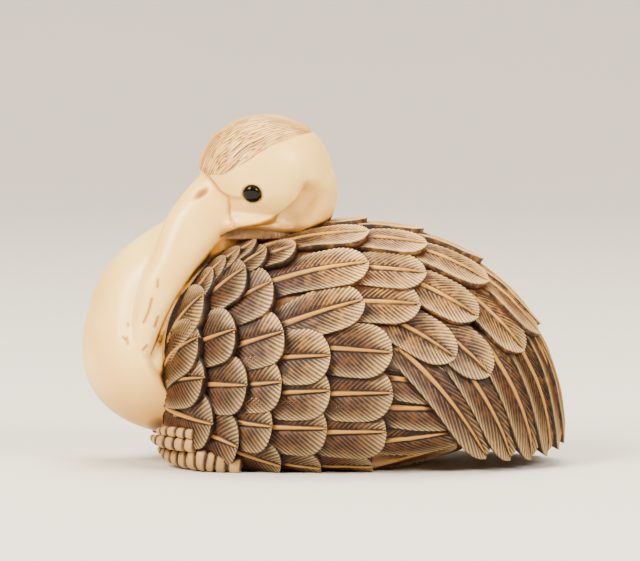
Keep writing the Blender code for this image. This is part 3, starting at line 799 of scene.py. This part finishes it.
def cutBelly(obj):
    # The flat belly and the cord's passage, cut as in the solid.
    cord = dict(  # in metres
        narrow=0.0030, wide=0.0037, spacing=0.0085, middle=0.0073, worn=0.0003, overrun=0.35, bends=40)
    blockSize = (0.07, 0.05, 0.012)  # all below the floor, longer and wider than the figure
    bm = bmesh.new()
    bmesh.ops.create_cube(bm, size=1.0)
    bmesh.ops.scale(bm, vec=blockSize, verts=bm.verts)
    bmesh.ops.translate(bm, vec=(0, 0, -blockSize[2] / 2), verts=bm.verts)
    mesh = bpy.data.meshes.new("belowBelly")
    bm.to_mesh(mesh)
    bm.free()
    reach, bends = cord["spacing"] / 2, cord["bends"]
    rings = []
    for i, angle in enumerate(np.linspace(-cord["overrun"], math.pi + cord["overrun"], bends + 1)):
        t = i / bends
        radius = ((1 - t) * cord["narrow"] + t * cord["wide"]) / 2
        radius += cord["worn"] * math.exp(-min(i, bends - i) / 3)  # mouths rounded by the cord's wear
        centre = np.array((cord["middle"] + reach * math.cos(angle), 0.0, reach * math.sin(angle)))
        along = np.array((-math.sin(angle), 0.0, math.cos(angle)))
        rings.append(ringRound(centre, along, radius, radius, 32) / toMetres)
    points, faces = tube(rings)
    passage = makeMesh("cordPassage", points, faces, {}, flat=False)
    cutters = (linked("belowBelly", mesh), passage)
    for cutter in cutters:
        cut = obj.modifiers.new(cutter.name, "BOOLEAN")
        cut.operation = "DIFFERENCE"
        cut.solver = "EXACT"
        cut.object = cutter
    applied(obj)
    for cutter in cutters:
        bpy.data.objects.remove(cutter)


# Painted shade gathered in the hollows, together with the rubbed-in stain that stays there
rayCount = 18
closeRays = 9
golden = math.pi * (3 - math.sqrt(5))


def hemisphere(count):
    k = np.arange(count) + 0.5
    z = np.sqrt(1 - k / count)
    r = np.sqrt(1 - z * z)
    return np.stack([r * np.cos(golden * k), r * np.sin(golden * k), z], axis=1)


def hollowness(tree, points, normals, reach, lift, rays):
    # How closed in each point is: 0 in the open, towards 1 deep in a hollow.
    sample = hemisphere(rays)
    helper = np.where(np.abs(normals[:, 2:3]) < 0.9, (0.0, 0.0, 1.0), (1.0, 0.0, 0.0))
    tangent = unit(np.cross(helper, normals))
    second = np.cross(normals, tangent)
    found = np.zeros(len(points))
    cast = tree.ray_cast
    for i, (p, n, t, b) in enumerate(zip(points, normals, tangent, second)):
        directions = sample[:, :1] * t + sample[:, 1:2] * b + sample[:, 2:] * n
        origin = Vector(p + n * lift)
        total = 0.0
        for d in directions.tolist():
            distance = cast(origin, d, reach)[3]
            if distance is not None:
                total += 1 - distance / reach
        found[i] = total / rays
    return found


def occluder(shells):
    points, faces = gathered(shells)
    return BVHTree.FromPolygons(points.tolist(), faces)


def featherHollow(tree, one):
    # Two painted shades over one feather, with the stain that stays there: wide ones from a coarse grid, and the
    # dark line beside a neighbour
    rows, wide = one["grid"]
    top, normals = one["points"][:rows * wide].reshape(rows, wide, 3), one["normals"]
    rowPick = np.unique(np.append(np.arange(0, rows, 4), rows - 1))
    columnPick = np.unique(np.round(np.linspace(0, wide - 1, 9)).astype(int))
    picked = np.ix_(rowPick, columnPick)
    coarse = hollowness(tree, top[picked].reshape(-1, 3), normals[picked].reshape(-1, 3), 3.0, 0.2, rayCount)
    coarse = coarse.reshape(len(rowPick), len(columnPick))
    overColumns = np.array([np.interp(np.arange(wide), columnPick, line) for line in coarse])
    full = np.array([np.interp(np.arange(rows), rowPick, line) for line in overColumns.T]).T
    close = hollowness(tree, top.reshape(-1, 3), normals.reshape(-1, 3), 0.8, 0.13, closeRays)
    # The side walls get a fixed painted shade, the shadow under each feather's edge
    foot = np.full(2 * rows, 0.8)
    return np.concatenate([full.ravel(), foot]), np.concatenate([close, foot])


# Materials
def linear(hexColour):
    # The linear colour that a socket takes, from an sRGB hex colour.
    value = hexColour.lstrip("#")
    found = []
    for k in (0, 2, 4):
        c = int(value[k:k + 2], 16) / 255
        found.append(c / 12.92 if c <= 0.04045 else ((c + 0.055) / 1.055) ** 2.4)
    return (*found, 1.0)


def add(tree, kind, inputs=(), out=0, **settings):
    # Adds a shader node: its inputs, by number or name, take a value, a hex colour or a link.
    node = tree.nodes.new("ShaderNode" + kind)
    for key, value in settings.items():
        setattr(node, key, value)
    for key, value in inputs.items() if isinstance(inputs, dict) else enumerate(inputs):
        if isinstance(value, bpy.types.NodeSocket):
            tree.links.new(value, node.inputs[key])
        else:
            node.inputs[key].default_value = linear(value) if isinstance(value, str) else value
    return node.outputs[out]


# Settings that many nodes share
times = dict(operation="MULTIPLY")
timesKept = dict(operation="MULTIPLY", use_clamp=True)  # kept between 0 and 1
plus = dict(operation="ADD")
plusKept = dict(operation="ADD", use_clamp=True)
largerKept = dict(operation="MAXIMUM", use_clamp=True)
softly = dict(interpolation_type="SMOOTHSTEP")
blend = dict(data_type="RGBA", out=2)  # amount at 0, colours at 6 and 7


def surfaced(name, makeShader):
    # A material from a function that adds its nodes and returns its shader.
    material = bpy.data.materials.new(name)
    material.use_nodes = True
    tree = material.node_tree
    tree.nodes.clear()
    output = tree.nodes.new("ShaderNodeOutputMaterial")
    tree.links.new(makeShader(tree, add(tree, "TexCoord", out="Object")), output.inputs[0])
    return material


def polishedIvory(tree, place):
    # Hand-polished elephant ivory, old and handled: warm cream, a soft deep gloss, stain in its cuts, and
    # painted shade with stain in its hollows and recesses.
    look = dict(
        pale="#ffda80", warm="#f9cb69", streak="#d9bf95", ochre="#bd8015", brown="#5f3d10", deep="#331c08",
        gloss=(0.33, 0.41), ior=1.54, under=0.30, streakShape=(0.25, 1.0, 0.12))
    grain = add(tree, "Mapping", {"Scale": look["streakShape"], "Vector": place})
    # Patches by their size in mm: warm clouds, the tusk's fine grain, uneven stain, gloss worn by hands
    clouds, streaks, patches, handling = (
        add(tree, "TexNoise", {"Scale": 1000.0 / size, "Detail": detail, "Roughness": 0.55, "Vector": vector})
        for size, detail, vector in ((7.0, 3.0, place), (0.5, 2.0, grain), (1.4, 4.0, place), (2.2, 3.0, place)))
    clouds = add(tree, "MapRange", (clouds, 0.35, 0.68), **softly)
    colour = add(tree, "Mix", {0: clouds, 6: look["pale"], 7: look["warm"]}, **blend)
    grainy = add(tree, "MapRange", (streaks, 0.5, 0.8), **softly)
    grainy = add(tree, "Math", (grainy, 0.22), **times)
    colour = add(tree, "Mix", {0: grainy, 6: colour, 7: look["streak"]}, **blend)
    mark, hollow = (add(tree, "Attribute", out="Fac", attribute_name=key) for key in ("mark", "hollow"))
    patchy = add(tree, "MapRange", (patches, 0.3, 0.7, 0.75, 1.25), **softly)
    # hollow is painted shade in the creases, with the stain that stays there; mark holds the carved stain and
    # the painted shade under the cheek, in the throat, low on the breast and behind the beak
    hollow = add(tree, "MapRange", (hollow, 0.20, 0.72), **softly)
    amount = add(tree, "Math", (add(tree, "Math", (hollow, patchy), **timesKept), mark), **largerKept)
    for low, high, stain in ((0.0, 0.5, "ochre"), (0.35, 0.8, "brown"), (0.75, 1.0, "deep")):
        reached = add(tree, "MapRange", (amount, low, high), **softly)
        colour = add(tree, "Mix", {0: reached, 6: colour, 7: look[stain]}, **blend)
    rough = add(tree, "MapRange", (handling, 0.3, 0.7, *look["gloss"]), **softly)
    rough = add(tree, "Math", (rough, add(tree, "Math", (amount, 0.2), **times)), **plus)
    relief = add(tree, "Bump", {"Strength": 0.12, "Distance": 0.00004, "Height": streaks})
    return add(tree, "BsdfPrincipled", {
        "IOR": look["ior"], "Metallic": 0.0, "Subsurface Weight": look["under"],
        "Subsurface Radius": (1.0, 0.72, 0.50), "Subsurface Scale": 0.0007, "Coat Weight": 0.10,
        "Coat Roughness": 0.2, "Base Color": colour, "Roughness": rough, "Normal": relief})


def stainedIvory(look, tree, place):
    # Engraved ivory rubbed with brown stain: it stays in the cuts and wears off the ridges
    groove, hollow, wearAndHighlight, root, tone, close, shaft = (
        add(tree, "Attribute", out="Fac", attribute_name=key)
        for key in ("groove", "hollow", "wearAndHighlight", "root", "tone", "close", "shaft"))
    # Patches by their size in mm: clouds of tone and uneven stain
    clouds, patches = (
        add(tree, "TexNoise", {"Scale": 1000.0 / size, "Detail": detail, "Roughness": 0.55, "Vector": place})
        for size, detail in ((4.0, 3.0), (0.9, 4.0)))
    clouds = add(tree, "MapRange", (clouds, 0.3, 0.7, -0.14, 0.14), **softly)
    patchy = add(tree, "MapRange", (patches, 0.28, 0.72, 0.6, 1.25), **softly)
    # The tone, darker towards the roots: stain, and painted shade under the covering feathers
    tone = add(tree, "Math", (tone, clouds), **plusKept)
    rootShade = add(tree, "Math", (root, look["rootStrength"]), **times)
    rootShade = add(tree, "Math", (rootShade, patchy), **timesKept)
    rootShade = add(tree, "Math", (rootShade, add(tree, "Math", (tone, 0.30), **plus)), **times)
    tone = add(tree, "Math", (tone, rootShade), **plusKept)
    # The fourth pair of colours paints the shade in the hollows, with the stain there
    ridges, cuts, shafts, stainShades = (
        add(tree, "Mix", {0: tone, 6: look[key], 7: look["dark" + key.capitalize()]}, **blend)
        for key in ("ridge", "groove", "shaft", "rub"))
    ridges = add(tree, "Mix", {0: shaft, 6: ridges, 7: shafts}, **blend)
    # Lines in the grooves, wider where the tone is dark
    widening = add(tree, "Math", (add(tree, "Math", (tone, 0.6), **times), 1.0), **plus)
    widened = add(tree, "Math", (groove, widening), **times)
    lines = add(tree, "Math", (add(tree, "MapRange", (widened, 0.10, 0.58), **softly), patchy), **timesKept)
    covering = add(tree, "Math", (lines, look["lineStrength"]), **times)
    colour = add(tree, "Mix", {0: covering, 6: ridges, 7: cuts}, **blend)
    # Painted shade with stain: brown in the hollows and beside a neighbour's edge
    shade = add(tree, "MapRange", (hollow, 0.10, 0.60), **softly)
    close = add(tree, "Math", (add(tree, "MapRange", (close, 0.20, 0.58), **softly), 0.92), **times)
    shade = add(tree, "Math", (shade, close), **largerKept)
    colour = add(tree, "Mix", {0: shade, 6: colour, 7: stainShades}, **blend)
    # Edges and tips rubbed pale, also standing for a painted highlight on the rims, least in the dark parts
    paleAmount = add(tree, "Math", (wearAndHighlight, add(tree, "Math", (0.85, shade), operation="SUBTRACT")), **timesKept)
    paler = add(tree, "Math", (1.05, add(tree, "Math", (tone, 0.55), **times)), operation="SUBTRACT")
    paleAmount = add(tree, "Math", (paleAmount, paler), **timesKept)
    colour = add(tree, "Mix", {0: paleAmount, 6: colour, 7: look["edge"]}, **blend)
    deepest = add(tree, "Math", (lines, shade), operation="MAXIMUM")
    return add(tree, "BsdfPrincipled", {
        "IOR": 1.54, "Metallic": 0.0, "Specular IOR Level": 0.3, "Base Color": colour,
        "Roughness": add(tree, "MapRange", (deepest, 0.0, 1.0, 0.40, 0.65), **softly)})


def polishedHorn(tree, place):
    # Polished dark buffalo horn: near black with a faint brown depth in half a millimetre, glossy as a bead.
    depth = add(tree, "TexNoise", {"Scale": 1000.0 / 0.5, "Detail": 2.0, "Roughness": 0.55, "Vector": place})
    return add(tree, "BsdfPrincipled", {
        "IOR": 1.54, "Metallic": 0.0, "Roughness": 0.10, "Specular IOR Level": 0.16,
        "Base Color": add(tree, "Mix", {0: depth, 6: "#060504", 7: "#0f0a08"}, **blend)})


def studioPaper(tree, place):
    # Matt studio paper, pale and even, in clouds of about 90 mm.
    clouds = add(tree, "TexNoise", {"Scale": 1000.0 / 90.0, "Detail": 3.0, "Roughness": 0.55, "Vector": place})
    return add(tree, "BsdfPrincipled", {
        "Roughness": 0.75, "Base Color": add(tree, "Mix", {0: clouds, 6: "#d3d0ca", 7: "#dad7d1"}, **blend)})


# Build
ivory = surfaced("polishedIvory", polishedIvory)
engraved = surfaced("stainedIvory", partial(stainedIvory, dict(
    ridge="#d29b48", darkRidge="#633a10", groove="#2f1301", darkGroove="#0d0400", rub="#5c2b02",
    darkRub="#1c0a01", shaft="#dda63a", darkShaft="#a5762f", edge="#f3d397", lineStrength=0.97,
    rootStrength=0.8)))
crownIvory = surfaced("engravedCrownIvory", partial(stainedIvory, dict(
    ridge="#e9b765", darkRidge="#d09646", groove="#552905", darkGroove="#442004", rub="#a8743c",
    darkRub="#7a4a22", shaft="#f2c88c", darkShaft="#cf9d62", edge="#fbe0b4", lineStrength=1.0,
    rootStrength=0.3)))
horn = surfaced("polishedHorn", polishedHorn)

headForms = [
    sweptForm([(x, y, z, r, r * neckBreadth) for x, y, z, r in neckLine], 150, 72),
    sweptForm(beakLine, 120, 48, 2.3),
    ovalForm(headCentre, headReach),
    ovalForm(breastCentre, breastReach),
    ovalForm(throatCentre, throatReach),
    ovalForm(napeCentre, napeReach),
    ovalForm(tipCentre, tipReach),
]
breastTree = occluder([headForms[0], headForms[3]])
headSkin = joinedForms("craneHeadAndNeck", headForms, 0.17, 4)
print("head and neck skin", triangleCount(headSkin), "triangles")
mark = carveFace(headSkin)

bodySkin = joinedForms("craneBody", [domeForm()], 0.30, 2)
cutBelly(bodySkin)
bodySkin.data.shade_smooth()
bodySkin.data.set_sharp_from_angle(angle=math.radians(50))
print("body skin", triangleCount(bodySkin), "triangles")

sides = {"craneLeftFeathers": carveSide(1), "craneRightFeathers": carveSide(-1)}
patch = crownPatch()
print("feathers carved", {name: len(made) for name, made in sides.items()})

tree = occluder(
    [(one["points"], one["faces"]) for made in sides.values() for one in made]
    + [skinOf(headSkin), skinOf(bodySkin)])
print("shade tree built")

pieces = []
for name, made in sides.items():
    points, faces = gathered([(one["points"], one["faces"]) for one in made])
    keys = ("groove", "wearAndHighlight", "root", "tone", "shaft")
    values = {key: np.concatenate([one[key] for one in made]) for key in keys}
    wideShades, closeShades = zip(*(featherHollow(tree, one) for one in made))
    values.update(hollow=np.concatenate(wideShades), close=np.concatenate(closeShades))
    pieces.append((makeMesh(name, points, faces, values), engraved))
    print(name, triangleCount(pieces[-1][0]), "triangles")

none = 0 * patch["groove"]
crownPiece = makeMesh("craneCrown", patch["points"], patch["faces"], dict(
    groove=patch["groove"], wearAndHighlight=none, hollow=none, close=none, shaft=none, root=none, tone=none + 0.45))
pieces.append((crownPiece, crownIvory))

legs = [legForm(band, side) for band in legBands for side in (1, -1)]
points, faces = gathered([leg[:2] for leg in legs])
cuts = np.concatenate([leg[2] for leg in legs])
none = 0 * cuts
legPiece = makeMesh("craneLegs", points, faces, dict(
    groove=cuts, wearAndHighlight=0.36 * (1 - cuts) ** 2, root=none, tone=none + 0.72, close=none, shaft=none))

for obj, material in ((headSkin, ivory), (bodySkin, engraved), (legPiece, engraved)):
    points, normals = pointsOf(obj), normalsOf(obj)
    # Painted shade in each piece's hollows, with the stain that stays there
    hollow = hollowness(tree, points, normals, 4.0, 0.12, rayCount)
    values = dict(hollow=hollow)
    if obj is headSkin:
        values["mark"] = mark
    elif obj is bodySkin:
        # The belly is rubbed pale where it stands; brown stays towards the rising rear, as stain and painted
        # shade from the hollows, the roots and the regional tone
        none = 0 * hollow
        paleAmount = smoothStep(-0.70, -0.95, normals[:, 2]) * (1 - smoothStep(0.5, 2.0, points[:, 2]))
        values = dict(
            hollow=hollow * (1 - 0.9 * paleAmount), groove=none, wearAndHighlight=0.7 * paleAmount, close=none, shaft=none,
            root=0.5 * (1 - paleAmount), tone=stainAndShadeTone(points) * (1 - 0.75 * paleAmount))
    giveValues(obj.data, values)
    pieces.append((obj, material))
print("shade gathered")

eyes = {"left_eye": eyeBead("leftEyeBead", -1), "right_eye": eyeBead("rightEyeBead", 1)}

for obj, material in pieces:
    obj.data.materials.append(material)
    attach(obj, "root")
    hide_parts("crane")
for node, obj in eyes.items():
    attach(obj, "root")
    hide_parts(node)


# Floor, camera and light
def studio():
    room = dict(wide=3.0, front=-1.6, back=0.45, bend=0.5, wall=1.3)
    shot = dict(distance=0.5, elevation=4.0, view=0.064, sensor=36, target=(-0.0005, 0.0, 0.0182))
    bend = [
        (room["back"] + room["bend"] * math.sin(a), room["bend"] * (1 - math.cos(a)))
        for a in np.linspace(0.0, math.pi / 2, 24)
    ]
    profile = [(room["front"], 0.0)] + bend + [(room["back"] + room["bend"], room["wall"])]
    points = [(x, y, z) for y, z in profile for x in (-room["wide"] / 2, room["wide"] / 2)]
    mesh = bpy.data.meshes.new("studioFloor")
    mesh.from_pydata(points, [], [(2 * i, 2 * i + 1, 2 * i + 3, 2 * i + 2) for i in range(len(profile) - 1)])
    mesh.shade_smooth()
    mesh.materials.append(surfaced("paleStudioPaper", studioPaper))
    floor = linked("studioFloor", mesh)

    data = bpy.data.cameras.new("camera")
    data.sensor_width = shot["sensor"]
    data.lens = shot["sensor"] * shot["distance"] / shot["view"]
    data.clip_start = 0.01
    camera = linked("camera", data)
    tilt = math.radians(shot["elevation"])
    away = Vector((0.0, -math.cos(tilt), math.sin(tilt)))
    camera.location = Vector(shot["target"]) + away * shot["distance"]
    camera.rotation_euler = (math.pi / 2 - tilt, 0.0, 0.0)
    bpy.context.scene.camera = camera

    middle = (0.0, 0.0, 0.015)
    lamps = {
        "softBoxLeft": dict(place=(-0.30, -0.30, 0.34), aim=middle, size=(0.20, 0.26), power=7.6),
        "softBoxRight": dict(place=(0.30, -0.34, 0.30), aim=middle, size=(0.18, 0.22), power=4.4),
        "softBoxTop": dict(place=(0.05, 0.10, 0.48), aim=middle, size=(0.35, 0.30), power=4.2),
        "wallWash": dict(place=(0.0, 0.45, 1.0), aim=(0.0, 0.75, 0.0), size=(1.2, 0.3), power=9.0),
    }
    for name, lamp in lamps.items():
        light = bpy.data.lights.new(name, "AREA")
        light.shape = "RECTANGLE"
        light.size, light.size_y = lamp["size"]
        light.energy = lamp["power"]
        light.color = linear("#fff1de")[:3]
        obj = linked(name, light)
        obj.location = lamp["place"]
        aim = Vector(lamp["aim"]) - Vector(lamp["place"])
        obj.rotation_mode = "QUATERNION"
        obj.rotation_quaternion = aim.to_track_quat("-Z", "Y")
    world = bpy.data.worlds.new("studio")
    world.use_nodes = True
    colour, strength = world.node_tree.nodes["Background"].inputs[:2]
    colour.default_value, strength.default_value = linear("#e9e0d2"), 0.28
    bpy.context.scene.world = world


studio()
